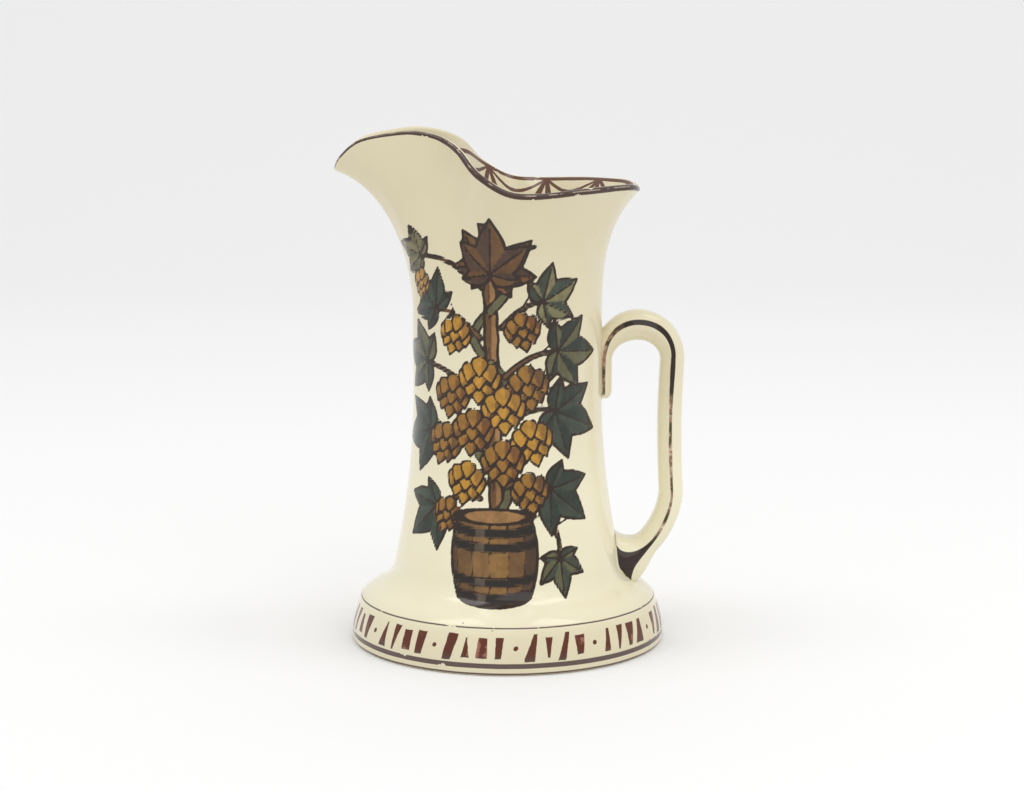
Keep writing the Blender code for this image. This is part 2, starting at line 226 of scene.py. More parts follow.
def wall_middle(azimuth, share):
    """Points on the middle of the drawn wall, at azimuths and shares of the way to the rim."""
    bearing = 180 - np.abs(180 - np.degrees(np.abs(azimuth)))
    reach, over_sides, lean = rim_at(bearing)
    height = RIM_HEIGHT + over_sides
    rise = height - MOUTH_START
    pull = MOUTH_LIP_PULL * rise
    lean = np.radians(lean)
    radius = eased(MOUTH_MIDDLE, MOUTH_MIDDLE, reach - pull * np.sin(lean), reach, share)
    low_pull = MOUTH_START + MOUTH_BASE_PULL * rise
    z = eased(MOUTH_START, low_pull, height - pull * np.cos(lean), height, share)
    return np.stack((radius * np.cos(azimuth), radius * np.sin(azimuth), z), axis=1)


def unit(vectors):
    """The vectors at a length of one."""
    return vectors / np.linalg.norm(vectors, axis=1, keepdims=True)


def draw_out_mouth(points):
    """Move the straight neck's points out to the mouth, and tell how far each is from the rim."""
    azimuth = np.arctan2(points[:, 1], points[:, 0])
    depth = np.hypot(points[:, 0], points[:, 1]) - MOUTH_MIDDLE
    share = np.minimum((points[:, 2] - MOUTH_START) / (RIM_HEIGHT - MOUTH_START), 1.0)
    over_rim = np.maximum(0.0, points[:, 2] - RIM_HEIGHT)
    middle = wall_middle(azimuth, share)
    around = wall_middle(azimuth + NUDGE, share) - wall_middle(azimuth - NUDGE, share)
    low, high = np.maximum(share - NUDGE / 2, 0.0), np.minimum(share + NUDGE / 2, 1.0)
    up = unit(wall_middle(azimuth, high) - wall_middle(azimuth, low))
    outwards = unit(np.cross(around, up))
    moved = middle + outwards * depth[:, None] + up * over_rim[:, None]
    lip = LIP_THICKNESS / 2
    down_wall = np.linalg.norm(middle - wall_middle(azimuth, np.ones_like(share)), axis=1)
    from_crown = np.where(
        over_rim > 0,
        lip * (np.arctan2(over_rim, depth) - math.pi / 2),
        -np.sign(depth) * (down_wall + lip * math.pi / 2),
    )
    return moved, from_crown


def rim_run(azimuth):
    """How far round the rim from the handle, as a share of the way to the spout's tip."""
    marks = np.linspace(0, math.pi, 400)
    rim = wall_middle(marks, np.ones_like(marks))
    lengths = np.concatenate(([0.0], np.cumsum(np.linalg.norm(np.diff(rim, axis=0), axis=1))))
    return np.interp(np.abs(azimuth), marks, lengths / lengths[-1])


def piece_from(made, name):
    """A smooth-shaded object at the origin from a finished bmesh, which is freed."""
    mesh = bpy.data.meshes.new(name)
    made.to_mesh(mesh)
    made.free()
    mesh.shade_smooth()
    piece = bpy.data.objects.new(name, mesh)
    bpy.context.collection.objects.link(piece)
    return piece


spun = bmesh.new()
outline = underside() + outside_outline() + straight_mouth() + inside_outline()
verts = [spun.verts.new((radius, 0.0, height)) for radius, height in outline]
edges = [spun.edges.new(pair) for pair in zip(verts, verts[1:])]
bmesh.ops.spin(
    spun,
    geom=verts + edges,
    cent=(0, 0, 0),
    axis=(0, 0, 1),
    angle=2 * math.pi,
    steps=TURN_STEPS,
    use_merge=True,
)
bmesh.ops.remove_doubles(spun, verts=spun.verts, dist=1e-6)
bmesh.ops.recalc_face_normals(spun, faces=spun.faces)
body = piece_from(spun, "jug_body")
body_mesh = body.data

place_of = np.empty(len(body_mesh.vertices) * 3)
body_mesh.vertices.foreach_get("co", place_of)
place_of = place_of.reshape(-1, 3)
lathe_height = place_of[:, 2].copy()
lathe_radius = np.hypot(place_of[:, 0], place_of[:, 1])
azimuth_of = np.arctan2(place_of[:, 1], place_of[:, 0])
# The columns of points stand closer together where the print is
azimuth_of += CLOSER_COLUMNS / 2 * np.sin(2 * azimuth_of)
place_of[:, 0] = lathe_radius * np.cos(azimuth_of)
place_of[:, 1] = lathe_radius * np.sin(azimuth_of)
from_crown = np.full(len(place_of), FAR_FROM_RIM)
mouth = lathe_height > MOUTH_START + 1e-7
place_of[mouth], from_crown[mouth] = draw_out_mouth(place_of[mouth])
body_mesh.vertices.foreach_set("co", place_of.ravel())
body_mesh.update()


# The print: a transfer in flat underglaze colours with dark key lines, laid round the near
# side of the body. A hop bine climbs a pole out of a barrel, with lobed leaves and hanging
# cones, and a small sprig of it is on the far side. Lengths are in millimetres on the wall.

PRINT_SHIFT = -6.0
PRINT_HALF_TURN = 2.2
SKIN_DEPTH = 1.5 * MM
KEY_HALF = 0.52
FINE_HALF = 0.42
TENDRIL_HALF = 0.38
TENDRIL_STEPS = 33
TWIG_STEPS = 14
NO_INK = 9.0

NIGHT_GREEN = (44, 52, 44)
DARK_GREEN = (58, 66, 54)
OLIVE = (92, 90, 62)
PALE_OLIVE = (120, 114, 80)
UMBER = (74, 54, 42)
BROWN = (100, 70, 40)
RUSSET = (112, 72, 34)
TAN = (146, 108, 66)
OCHRE = (146, 104, 42)
GOLD = (180, 132, 46)
SOOT = (36, 30, 26)
IRON = (84, 74, 62)
STAVES = ((80, 58, 38), (104, 76, 44), (126, 94, 54), (132, 98, 52), (106, 76, 44), (76, 56, 38))


def linear(colour):
    """A colour mixed by eye on a screen, as the linear light that Blender works in."""
    shares = [channel / 255 for channel in colour]
    return [s / 12.92 if s <= 0.04045 else ((s + 0.055) / 1.055) ** 2.4 for s in shares]


outer_heights = [z for _, z in outside_outline()] + [RIM_HEIGHT]
outer_radii = [r for r, _ in outside_outline()] + [NECK_RADIUS]
skin_radius = np.interp(lathe_height, outer_heights, outer_radii)
on_skin = (lathe_radius > skin_radius - SKIN_DEPTH) & (lathe_height > FOOT_BAND_HEIGHT)
ink = np.full(len(place_of), NO_INK)
cover = np.zeros((len(place_of), 4))


class Transfer:
    """A sheet of print round the wall, whose motifs are laid one over another."""

    def __init__(self, facing, shift):
        turn = np.angle(np.exp(1j * (azimuth_of - math.radians(facing))))
        self.across = turn * skin_radius / MM - shift
        self.up = place_of[:, 2] / MM
        self.reachable = on_skin & (np.abs(turn) < PRINT_HALF_TURN)

    def near(self, x, y, reach):
        """The points of the wall within reach of a place."""
        close = (np.abs(self.across - x) < reach) & (np.abs(self.up - y) < reach)
        return np.nonzero(close & self.reachable)[0]

    def along(self, at, x, y, angle):
        """How far points lie along and beside a line that leaves a place at an angle from upright."""
        turn = math.radians(angle)
        right, rise = self.across[at] - x, self.up[at] - y
        along = right * math.sin(turn) + rise * math.cos(turn)
        beside = right * math.cos(turn) - rise * math.sin(turn)
        return along, beside

    def lay(self, at, outside, colour, lines=None, key=KEY_HALF):
        """Lay a flat shape on what is there, with a key line round it and lines within it."""
        within = outside < 0
        own = np.abs(outside) - key
        if lines is not None:
            own = np.minimum(own, lines)
        ink[at] = np.where(within, own, np.minimum(ink[at], outside - key))
        colour = np.broadcast_to(colour, (len(at), 3))
        cover[at[within], :3] = colour[within]
        cover[at[within], 3] = 1.0


def two_tone(lit, light, dark):
    """A light colour where a mask holds, and a dark one elsewhere."""
    return np.where(lit[:, None], linear(light), linear(dark))


def blade(along, beside, length, half_width, fullness):
    """How far outside a pointed blade points lie, from its foot to its tip."""
    share = np.clip(along / length, 1e-4, 1 - 1e-4)
    bow = math.pi * share**fullness
    profile = half_width * np.sin(bow)
    slope = half_width * np.cos(bow) * math.pi * fullness * share ** (fullness - 1) / length
    beyond = np.maximum(-along, along - length)
    edge = (np.abs(beside) - profile) / np.hypot(1, slope)
    return np.where(beyond > 0, np.hypot(beyond, beside), edge)


def rib(along, beside, length):
    """How far points lie from the stretch of a line between its start and a length."""
    return np.hypot(beside, np.maximum(0, np.maximum(-along, along - length)))


# A leaf's lobes: angle from its middle, then reach and breadth as shares of its size
LEAF_LOBES = (
    (0, 1.0, 0.27),
    (50, 0.84, 0.23),
    (-50, 0.84, 0.23),
    (102, 0.56, 0.17),
    (-102, 0.56, 0.17),
)


def print_leaf(sheet, x, y, angle, size, light, dark):
    """A lobed hop leaf, spreading from its stalk, with a dark half beside each rib."""
    at = sheet.near(x, y, size * 1.3)
    outside = np.full(len(at), np.inf)
    ribs = np.full(len(at), np.inf)
    lit = np.zeros(len(at), dtype=bool)
    for turn, reach, breadth in LEAF_LOBES:
        along, beside = sheet.along(at, x, y, angle + turn)
        lobe = blade(along, beside, size * reach, size * breadth, 0.72)
        deeper = lobe < outside
        outside = np.where(deeper, lobe, outside)
        lit = np.where(deeper, beside > 0, lit)
        ribs = np.minimum(ribs, rib(along, beside, size * reach * 0.82))
    along, beside = sheet.along(at, x, y, angle)
    heart = np.hypot(along - size * 0.16, beside) - size * 0.2
    outside = np.minimum(outside, heart)
    sheet.lay(at, outside, two_tone(lit, light, dark), ribs - FINE_HALF)


# A cone's rows of bracts: how far along it they start, and how far to the side each one is
CONE_ROWS = (
    (0.60, (0.0,)),
    (0.46, (-0.15, 0.15)),
    (0.31, (-0.24, 0.24, 0.0)),
    (0.17, (-0.17, 0.17)),
    (0.04, (0.0,)),
)


def print_cone(sheet, x, y, angle, length, light, dark):
    """A hanging hop cone: overlapping bracts, laid from its tip back to its stalk."""
    turn = math.radians(angle)
    for row, (start, offsets) in enumerate(CONE_ROWS):
        for offset in offsets:
            right = x + length * (start * math.sin(turn) + offset * math.cos(turn))
            rise = y + length * (start * math.cos(turn) - offset * math.sin(turn))
            at = sheet.near(right, rise, length * 0.6)
            along, beside = sheet.along(at, right, rise, angle + offset * 70)
            outside = blade(along, beside, length * 0.42, length * 0.17, 0.62)
            shaded = beside < (0.03 if (row + (offset > 0)) % 2 else -0.06) * length
            sheet.lay(at, outside, two_tone(~shaded, light, dark), key=FINE_HALF)


def path_distance(sheet, at, route):
    """How far points lie from a drawn route, and the share of the way along that is nearest."""
    best = np.full(len(at), np.inf)
    share = np.zeros(len(at))
    across, up = sheet.across[at], sheet.up[at]
    for i, ((x0, y0), (x1, y1)) in enumerate(zip(route, route[1:])):
        run_x, run_y = x1 - x0, y1 - y0
        t = np.clip(((across - x0) * run_x + (up - y0) * run_y) / (run_x**2 + run_y**2), 0, 1)
        gap = np.hypot(across - x0 - t * run_x, up - y0 - t * run_y)
        nearer = gap < best
        best = np.where(nearer, gap, best)
        share = np.where(nearer, (i + t) / (len(route) - 1), share)
    return best, share


def bend(start, pull_start, pull_end, end):
    """A drawn route along one Bezier curve."""
    corners = [np.array(point, dtype=float) for point in (start, pull_start, pull_end, end)]
    return [tuple(eased(*corners, i / TWIG_STEPS)) for i in range(TWIG_STEPS + 1)]


def print_stem(sheet, route, width_start, width_end, colour):
    """A stem or twig along a route, thinning towards its end."""
    middle = route[len(route) // 2]
    reach = max(max(abs(px - middle[0]), abs(py - middle[1])) for px, py in route) + 6
    at = sheet.near(middle[0], middle[1], reach)
    gap, share = path_distance(sheet, at, route)
    half = (width_start + (width_end - width_start) * share) / 2
    sheet.lay(at, gap - half, linear(colour), key=FINE_HALF)


def print_tendril(sheet, x, y, angle, reach, hand):
    """A tendril that leaves a stem and winds up into a curl, drawn in key colour alone."""
    route = []
    for i in range(TENDRIL_STEPS + 1):
        share = i / TENDRIL_STEPS
        turn = math.radians(angle) + hand * 7.5 * share**2.1
        step = reach / TENDRIL_STEPS * (1 - 0.45 * share)
        route.append((x, y))
        x, y = x + step * math.sin(turn), y + step * math.cos(turn)
    middle = route[len(route) // 2]
    at = sheet.near(middle[0], middle[1], reach)
    gap, _ = path_distance(sheet, at, route)
    ink[at] = np.minimum(ink[at], gap - TENDRIL_HALF)


def print_pole(sheet, foot_x, foot_y, top_x, top_y, half_width):
    """A hop pole with its bark on, light down one side, cut across at its top."""
    length = math.hypot(top_x - foot_x, top_y - foot_y)
    angle = math.degrees(math.atan2(top_x - foot_x, top_y - foot_y))
    middle = ((foot_x + top_x) / 2, (foot_y + top_y) / 2)
    at = sheet.near(middle[0], middle[1], length / 2 + 4)
    along, beside = sheet.along(at, foot_x, foot_y, angle)
    knots = half_width * (1 + 0.12 * np.sin(along * 0.55) * np.sin(along * 0.21 + 1))
    outside = np.maximum(np.abs(beside) - knots, np.maximum(-along, along - length))
    grain = np.abs(beside + 0.5 + 0.35 * np.sin(along * 0.5)) + 0.35 * (np.sin(along * 0.9) > 0.1)
    lit = beside > 0.1 * half_width
    sheet.lay(at, outside, two_tone(lit, TAN, BROWN), grain - 0.2)


# The joints between the staves, from the left, as shares of half the barrel's width, and the
# hoops' heights as shares of its own
STAVE_JOINTS = (-0.86, -0.5, -0.1, 0.34, 0.72)
HOOP_LEVELS = (0.08, 0.27, 0.70, 0.88)


def print_barrel(sheet, x, foot, height, half_width):
    """A small barrel seen a little from above: staves, four hoops and its head."""
    middle = foot + height / 2
    at = sheet.near(x, middle, height / 2 + half_width)
    along, beside = sheet.along(at, x, foot, 0)
    swell = half_width * (0.84 + 0.16 * (1 - ((along - height / 2) / (height / 2)) ** 2))
    round_share = np.clip(np.abs(beside) / swell, 0, 1)
    sag = 2.6 * np.sqrt(1 - round_share**2)
    outside = np.maximum(np.abs(beside) - swell, np.maximum(-along - sag, along - height))
    joints = np.full(len(at), np.inf)
    for share in STAVE_JOINTS:
        joints = np.minimum(joints, np.abs(beside - share * swell))
    stave = np.digitize(beside / swell, STAVE_JOINTS)
    tones = np.array([linear(colour) for colour in STAVES])
    sheet.lay(at, outside, tones[stave], joints - 0.26, key=0.6)
    for level in HOOP_LEVELS:
        rise = along + sag - height * level
        hoop = np.maximum(np.abs(rise) - 1.5, outside + 0.1)
        lit = np.abs(beside + 0.34 * swell) < 0.12 * swell
        sheet.lay(at, hoop, two_tone(lit, IRON, SOOT), key=0.3)
    head = (np.hypot(beside / (half_width * 0.84), (along - height) / 2.7) - 1) * 2.7
    grooves = np.abs((along - height) % 1.9 - 0.95) + 0.2
    sheet.lay(at, head, linear(TAN), grooves - 0.1)


def bine_route(sway, start, end):
    """The bine's route up round the pole, between two heights."""
    count = max(6, int((end - start) / 2.2))
    heights = [start + (end - start) * i / count for i in range(count + 1)]
    return [(sway * math.sin((z - 52) * math.pi / 19), z) for z in heights]


def print_each(motif, sheet, *places):
    """Print one kind of motif at each of its places, in their order."""
    for place in places:
        motif(sheet, *place)


front = Transfer(-90, PRINT_SHIFT)
for start in (71, 109):
    print_stem(front, bine_route(6.2, start, start + 19), 3.0, 2.8, OLIVE)
print_pole(front, 3.0, 24, -1.0, 159, 2.3)
for start in (52, 90, 128):
    print_stem(front, bine_route(6.2, start, start + 19), 3.2, 2.9, OLIVE)

# Each twig's start, two pulls, end and width
TWIGS = (
    ((-4, 60), (-10, 62), (-16, 60), (-22, 54), 1.8),
    ((5, 64), (11, 68), (17, 68), (22, 62), 1.8),
    ((-5, 78), (-12, 84), (-19, 86), (-27, 82), 1.8),
    ((5, 86), (12, 92), (18, 94), (25, 90), 1.8),
    ((-5, 98), (-13, 104), (-20, 107), (-29, 108), 1.8),
    ((5, 104), (12, 111), (19, 114), (26, 112), 1.8),
    ((-4, 118), (-10, 125), (-16, 128), (-24, 128), 1.8),
    ((4, 122), (9, 128), (14, 131), (20, 131), 1.6),
    ((-3, 136), (-10, 143), (-20, 147), (-33, 146), 1.6),
    ((4, 140), (7, 146), (10, 149), (15, 151), 1.4),
    ((15, 57), (23, 55), (26, 47), (26, 36), 1.8),
)
for *corners, width in TWIGS:
    print_stem(front, bend(*corners), width, width * 0.6, BROWN)
# Each motif's place across and up, its angle and its length, then the way that a tendril
# curls, or the light and the dark colour
print_each(
    print_tendril,
    front,
    (-20, 86, -60, 26, -1),
    (19, 113, 50, 24, 1),
    (-16, 60, -120, 22, 1),
    (12, 130, 30, 22, 1),
    (-14, 127, -30, 24, -1),
    (25, 50, 70, 18, -1),
)
print_each(
    print_leaf,
    front,
    (-22, 56, -130, 19, DARK_GREEN, NIGHT_GREEN),
    (-26, 83, -105, 21, DARK_GREEN, NIGHT_GREEN),
    (-28, 108, -80, 20, OLIVE, DARK_GREEN),
    (22, 63, 128, 20, DARK_GREEN, NIGHT_GREEN),
    (24, 91, 112, 22, DARK_GREEN, NIGHT_GREEN),
    (25, 113, 95, 20, OLIVE, NIGHT_GREEN),
    (-23, 128, -50, 17, DARK_GREEN, NIGHT_GREEN),
    (19, 131, 65, 17, PALE_OLIVE, DARK_GREEN),
    (-33, 146, -75, 14, PALE_OLIVE, OLIVE),
    (26, 38, 172, 14, OLIVE, DARK_GREEN),
    (-1, 143, -38, 17, BROWN, UMBER),
    (2, 141, 44, 17, RUSSET, UMBER),
    (0, 141, 2, 20, BROWN, UMBER),
)
print_each(
    print_cone,
    front,
    (-12, 126, 196, 15, GOLD, OCHRE),
    (10, 128, 168, 15, OCHRE, RUSSET),
    (-14, 105, 190, 17, OCHRE, RUSSET),
    (-4, 112, 182, 18, GOLD, OCHRE),
    (12, 109, 170, 18, OCHRE, BROWN),
    (4, 101, 176, 18, GOLD, OCHRE),
    (-16, 87, 200, 17, OCHRE, BROWN),
    (-6, 93, 186, 18, OCHRE, RUSSET),
    (13, 89, 166, 18, GOLD, OCHRE),
    (4, 82, 178, 18, OCHRE, RUSSET),
    (-8, 74, 190, 17, GOLD, OCHRE),
    (13, 70, 170, 16, OCHRE, BROWN),
    (-15, 60, 200, 14, OCHRE, RUSSET),
    (-32, 142, 186, 12, GOLD, OCHRE),
)
print_barrel(front, 1.0, 25.0, 28.5, 16.0)

back = Transfer(90, 2.0)
print_stem(back, bend((2, 60), (-6, 80), (8, 100), (0, 126)), 3.2, 1.6, BROWN)
print_each(
    print_leaf,
    back,
    (-2, 76, -75, 20, DARK_GREEN, NIGHT_GREEN),
    (2, 90, 78, 20, OLIVE, NIGHT_GREEN),
    (3, 106, -60, 18, DARK_GREEN, NIGHT_GREEN),
    (2, 116, 55, 16, OLIVE, DARK_GREEN),
    (0, 124, 0, 15, BROWN, UMBER),
)
print_each(
    print_cone,
    back,
    (-8, 100, 195, 15, GOLD, OCHRE),
    (9, 104, 165, 15, OCHRE, RUSSET),
    (-9, 78, 190, 15, OCHRE, RUSSET),
    (8, 82, 172, 15, GOLD, OCHRE),
    (0, 74, 180, 16, GOLD, OCHRE),
)
print_each(print_tendril, back, (2, 118, 40, 20, 1), (-3, 84, -40, 22, -1))

for name, values in (
    ("ink", ink),
    ("rim_depth", from_crown / MM),
    ("rim_run", rim_run(azimuth_of)),
):
    body_mesh.attributes.new(name, "FLOAT", "POINT").data.foreach_set("value", values)
print_cover = body_mesh.attributes.new("print_cover", "FLOAT_COLOR", "POINT")
print_cover.data.foreach_set("color", cover.ravel())


# The glaze and the painted lines. The cream glaze lies a little unevenly and has a few fine
# specks. Dark brown lines are painted round the foot and the rim, with a row of rust-brown
# strokes between the foot's lines and a looped border inside the mouth, all worn in places.

CREAM = (239, 232, 203)
WARM_CREAM = (213, 201, 168)
SPECK_BROWN = (120, 84, 50)
KEY_BROWN = (46, 32, 22)
LINE_BROWN = (96, 78, 74)
RIM_BROWN = (70, 50, 42)
# A painted highlight: the pale colour of a glint along the rim's crown
RIM_PAINTED_HIGHLIGHT = (172, 156, 136)
RUST = (92, 42, 22)
RUST_DARK = (84, 62, 50)
RUST_WORN = (172, 118, 98)
BORDER_BROWN = (98, 64, 46)
BISCUIT = (205, 188, 158)

# Lengths of the paint are in millimetres. A foot line has a middle height and a half width.
THIN_LINE = (16.7, 0.24)
THICK_LINE = (3.7, 0.9)
LOWEST_LINE = (0.8, 0.34)
BARE_RING_HEIGHT = 0.22
# Heights in millimetres and shares of the darker, warmer cream: low on the foot, where the glaze pools,
# and rising from the body's middle to the neck and mouth
POOL_HEIGHTS = (20.0, 13.0)
POOL_WARMTH = 0.52
UPPER_HEIGHTS = (60.0, 150.0)
UPPER_WARMTH = 0.64
OUTSIDE_RADIUS = 53.8
PAINT_EDGE = 0.14
WEAR_GRAIN = (150.0, 4.0, 0.65)

STROKES_ROUND = 60
STROKES_RADIUS = 57.0
STROKES_HEIGHT = 9.9
NARROWEST_STROKE = 0.35
DOT_RADIUS = 0.85
DOT_EVERY = 5.0

BORDER_LOOPS = 6
LOOP_DROP = 5.4
LOOP_HALF = 0.72
LOOP_PITCH = 28.0
STEM_SPLAY = 0.42
STEM_HALF = 0.85
STEM_MIDDLE = 2.9
STEM_REACH = 3.6


class Field:
    """What changes over a surface, such as a number, a place or a colour, put out by a node.

    Sums with it are worked out by Math nodes.
    """

    def __init__(self, socket):
        self.socket = socket
        self.tree = socket.id_data

    def __add__(self, other):
        return maths("ADD", self, other)

    def __sub__(self, other):
        return maths("SUBTRACT", self, other)

    def __rsub__(self, other):
        return maths("SUBTRACT", other, self)

    def __mul__(self, other):
        return maths("MULTIPLY", self, other)


def place_node(tree, kind, *values, **options):
    """Add a node, set its options, and set or join its inputs in their order."""
    node = tree.nodes.new(kind)
    for name, value in options.items():
        setattr(node, name, value)
    for socket, value in zip(node.inputs, values):
        if isinstance(value, Field):
            tree.links.new(value.socket, socket)
        else:
            socket.default_value = value
    return node


def set_sockets(node, **values):
    """Set a node's inputs by name, with underscores for the spaces."""
    for name, value in values.items():
        node.inputs[name.replace("_", " ")].default_value = value


def maths(operation, *values):
    """The result of a Math node."""
    tree = next(value.tree for value in values if isinstance(value, Field))
    return Field(place_node(tree, "ShaderNodeMath", *values, operation=operation).outputs[0])


def parts_of(kind, field):
    """The separate numbers in a place (XYZ) or in a colour (Color)."""
    return [Field(part) for part in place_node(field.tree, "ShaderNodeSeparate" + kind, field).outputs]


def lay_colour(mask, under, over):
    """One colour laid over another where a mask says."""
    mix = place_node(mask.tree, "ShaderNodeMix", mask, data_type="RGBA")
    for index, colour in ((6, under), (7, over)):
        if isinstance(colour, Field):
            mask.tree.links.new(colour.socket, mix.inputs[index])
        else:
            mix.inputs[index].default_value = (*linear(colour), 1.0)
    return Field(mix.outputs[2])


def stretched(value, low, high, start=0.0, end=1.0, kind="LINEAR"):
    """A value's range spread out to another, and held at its ends."""
    spread = (value, low, high, start, end)
    node = place_node(value.tree, "ShaderNodeMapRange", *spread, interpolation_type=kind)
    return Field(node.outputs[0])


def within(distance, softness=PAINT_EDGE):
    """A mask that is one where a signed distance is below nothing, with a soft edge."""
    return stretched(distance, softness, -softness, kind="SMOOTHSTEP")


def noise_of(where, scale, detail=2.0, roughness=0.5):
    """The value of a Noise node, about one half."""
    node = place_node(where.tree, "ShaderNodeTexNoise", where, noise_dimensions="3D")
    set_sockets(node, Scale=scale, Detail=detail, Roughness=roughness)
    return Field(node.outputs["Fac"])


def wobble_of(where, scale):
    """How far a hand-painted edge strays, up to a quarter of a millimetre."""
    return noise_of(where, scale) * 0.5 - 0.25


def line_at(value, middle, half):
    """The distance outside a painted line about a level."""
    return maths("ABSOLUTE", value - middle) - half


def worn_line(line, wear, start, end, most):
    """A painted line whose edge draws in, by the most given, as the wear passes its range."""
    return line + stretched(wear, start, end, 0.0, most)


def cream_glaze_group():
    """The bare glaze: its uneven cream colour, its specks, and its faint ripple."""
    group = bpy.data.node_groups.new("cream_glaze_ground", "ShaderNodeTree")
    for name, way, kind in (
        ("Place", "INPUT", "Vector"),
        ("Colour", "OUTPUT", "Color"),
        ("Roughness", "OUTPUT", "Float"),
        ("Ripple", "OUTPUT", "Float"),
    ):
        group.interface.new_socket(name, in_out=way, socket_type="NodeSocket" + kind)
    where = Field(group.nodes.new("NodeGroupInput").outputs["Place"])
    height = parts_of("XYZ", where)[2] * 1000.0
    pooled = stretched(height, *POOL_HEIGHTS, 0.0, POOL_WARMTH)
    # Darker, warmer cream low on the foot, and rising up the body to the neck and mouth
    warm_by_height = maths("MAXIMUM", stretched(height, *UPPER_HEIGHTS, 0.0, UPPER_WARMTH), pooled)
    cloud = stretched(noise_of(where, 26.0, 3.0), 0.3, 0.72, -0.05, 0.2)
    colour = lay_colour(warm_by_height + cloud, CREAM, WARM_CREAM)
    cells = place_node(group, "ShaderNodeTexVoronoi", where)
    set_sockets(cells, Scale=190.0)
    dot = Field(cells.outputs["Distance"]) - 0.085
    chance = parts_of("Color", Field(cells.outputs["Color"]))[0]
    specks = within(dot, 0.03) * maths("GREATER_THAN", chance, 0.965)
    handling = noise_of(where, 60.0, 4.0, 0.6)
    leave = group.nodes.new("NodeGroupOutput")
    for name, field in (
        ("Colour", lay_colour(specks * 0.7, colour, SPECK_BROWN)),
        ("Roughness", stretched(handling, 0.3, 0.7, 0.09, 0.2)),
        ("Ripple", noise_of(where, 130.0, 1.0)),
    ):
        group.links.new(field.socket, leave.inputs[name])
    return group


glaze_ground = cream_glaze_group()


def bare_ground(material):
    """Start a glaze material: its tree, where on the piece, and the bare glaze there."""
    material.use_nodes = True
    tree = material.node_tree
    where = Field(tree.nodes.new("ShaderNodeTexCoord").outputs["Object"])
    return tree, where, place_node(tree, "ShaderNodeGroup", where, node_tree=glaze_ground)


def finish_glaze(ground, colour):
    """Join a colour and the glaze's ripple to the shader, with the glaze's own gloss."""
    tree = colour.tree
    shader = tree.nodes["Principled BSDF"]
    ripple = tree.nodes.new("ShaderNodeBump")
    set_sockets(ripple, Strength=0.12, Distance=0.4 * MM)
    set_sockets(shader, IOR=1.5, Specular_IOR_Level=0.3, Coat_Weight=0.2, Coat_Roughness=0.04)
    tree.links.new(ground.outputs["Ripple"], ripple.inputs["Height"])
    tree.links.new(ripple.outputs["Normal"], shader.inputs["Normal"])
    tree.links.new(colour.socket, shader.inputs["Base Color"])
    tree.links.new(ground.outputs["Roughness"], shader.inputs["Roughness"])


def painted_value(tree, name):
    """One of the piece's own painted attributes, as a value."""
    return Field(place_node(tree, "ShaderNodeAttribute", attribute_name=name).outputs["Fac"])


def foot_strokes(azimuth, height, wobble):
    """The row of strokes round the foot, as the distance outside the nearest stroke."""
    turn = azimuth * (STROKES_ROUND / (2 * math.pi)) + STROKES_ROUND / 2
    number = maths("FLOOR", turn)
    pitch = 2 * math.pi * STROKES_RADIUS / STROKES_ROUND
    dice = place_node(turn.tree, "ShaderNodeTexWhiteNoise", noise_dimensions="1D")
    turn.tree.links.new((number + 0.5).socket, dice.inputs["W"])
    throws = parts_of("Color", Field(dice.outputs["Color"]))
    lean = stretched(throws[0], 0.0, 1.0, 0.02, 0.3)
    taper = stretched(throws[1], 0.0, 1.0, -0.2, 0.2)
    broad = stretched(throws[2], 0.0, 1.0, 0.8, 1.9)
    tall = stretched(Field(dice.outputs["Value"]), 0.0, 1.0, 3.3, 4.8)
    rise = height - STROKES_HEIGHT
    beside = maths("FRACT", turn) * pitch - pitch / 2 - lean * rise
    side = maths("ABSOLUTE", beside) - maths("MAXIMUM", taper * rise + broad, NARROWEST_STROKE)
    stroke = maths("MAXIMUM", side, maths("ABSOLUTE", rise) - tall)
    dot = maths("SQRT", beside * beside + rise * rise) - DOT_RADIUS
    is_dot = maths("LESS_THAN", maths("MODULO", number, DOT_EVERY), 0.5)
    return (dot - stroke) * is_dot + stroke + wobble


def rim_border(hang, run, wobble):
    """The border inside the mouth: loops hung from the inner line, and splayed stems."""
    cell = maths("FRACT", run * BORDER_LOOPS)
    loops = line_at(hang, maths("SINE", cell * math.pi) * LOOP_DROP + 0.2, LOOP_HALF)
    beside = (0.5 - maths("ABSOLUTE", cell - 0.5)) * LOOP_PITCH
    stem = line_at(beside, hang * STEM_SPLAY, hang * 0.12 + STEM_HALF)
    stems = maths("MAXIMUM", stem, line_at(hang, STEM_MIDDLE, STEM_REACH))
    return maths("MINIMUM", loops, stems) + wobble


body_glaze = bpy.data.materials.new("jug_printed_glaze")
tree, where, ground = bare_ground(body_glaze)
along_x, along_y, along_z = parts_of("XYZ", where)
height = along_z * 1000.0
from_axis = maths("SQRT", along_x * along_x + along_y * along_y) * 1000.0
on_outside = within(OUTSIDE_RADIUS - from_axis, 0.5)
hand_wobble = wobble_of(where, 420.0)
slow_wobble = wobble_of(where, 60.0)
wear = noise_of(where, *WEAR_GRAIN)

printed = place_node(tree, "ShaderNodeAttribute", attribute_name="print_cover")
flat_colour = Field(printed.outputs["Color"])
brushed_colour = place_node(tree, "ShaderNodeVectorMath", flat_colour, operation="SCALE")
brushed = stretched(noise_of(where, 210.0, 5.0, 0.7), 0.3, 0.75, 0.72, 1.4)
tree.links.new(brushed.socket, brushed_colour.inputs["Scale"])
covered = stretched(Field(printed.outputs["Alpha"]), 0.35, 0.65)
colour = lay_colour(covered, Field(ground.outputs["Colour"]), Field(brushed_colour.outputs[0]))
inked = within(painted_value(tree, "ink") + hand_wobble, 0.13)
colour = lay_colour(inked, colour, KEY_BROWN)

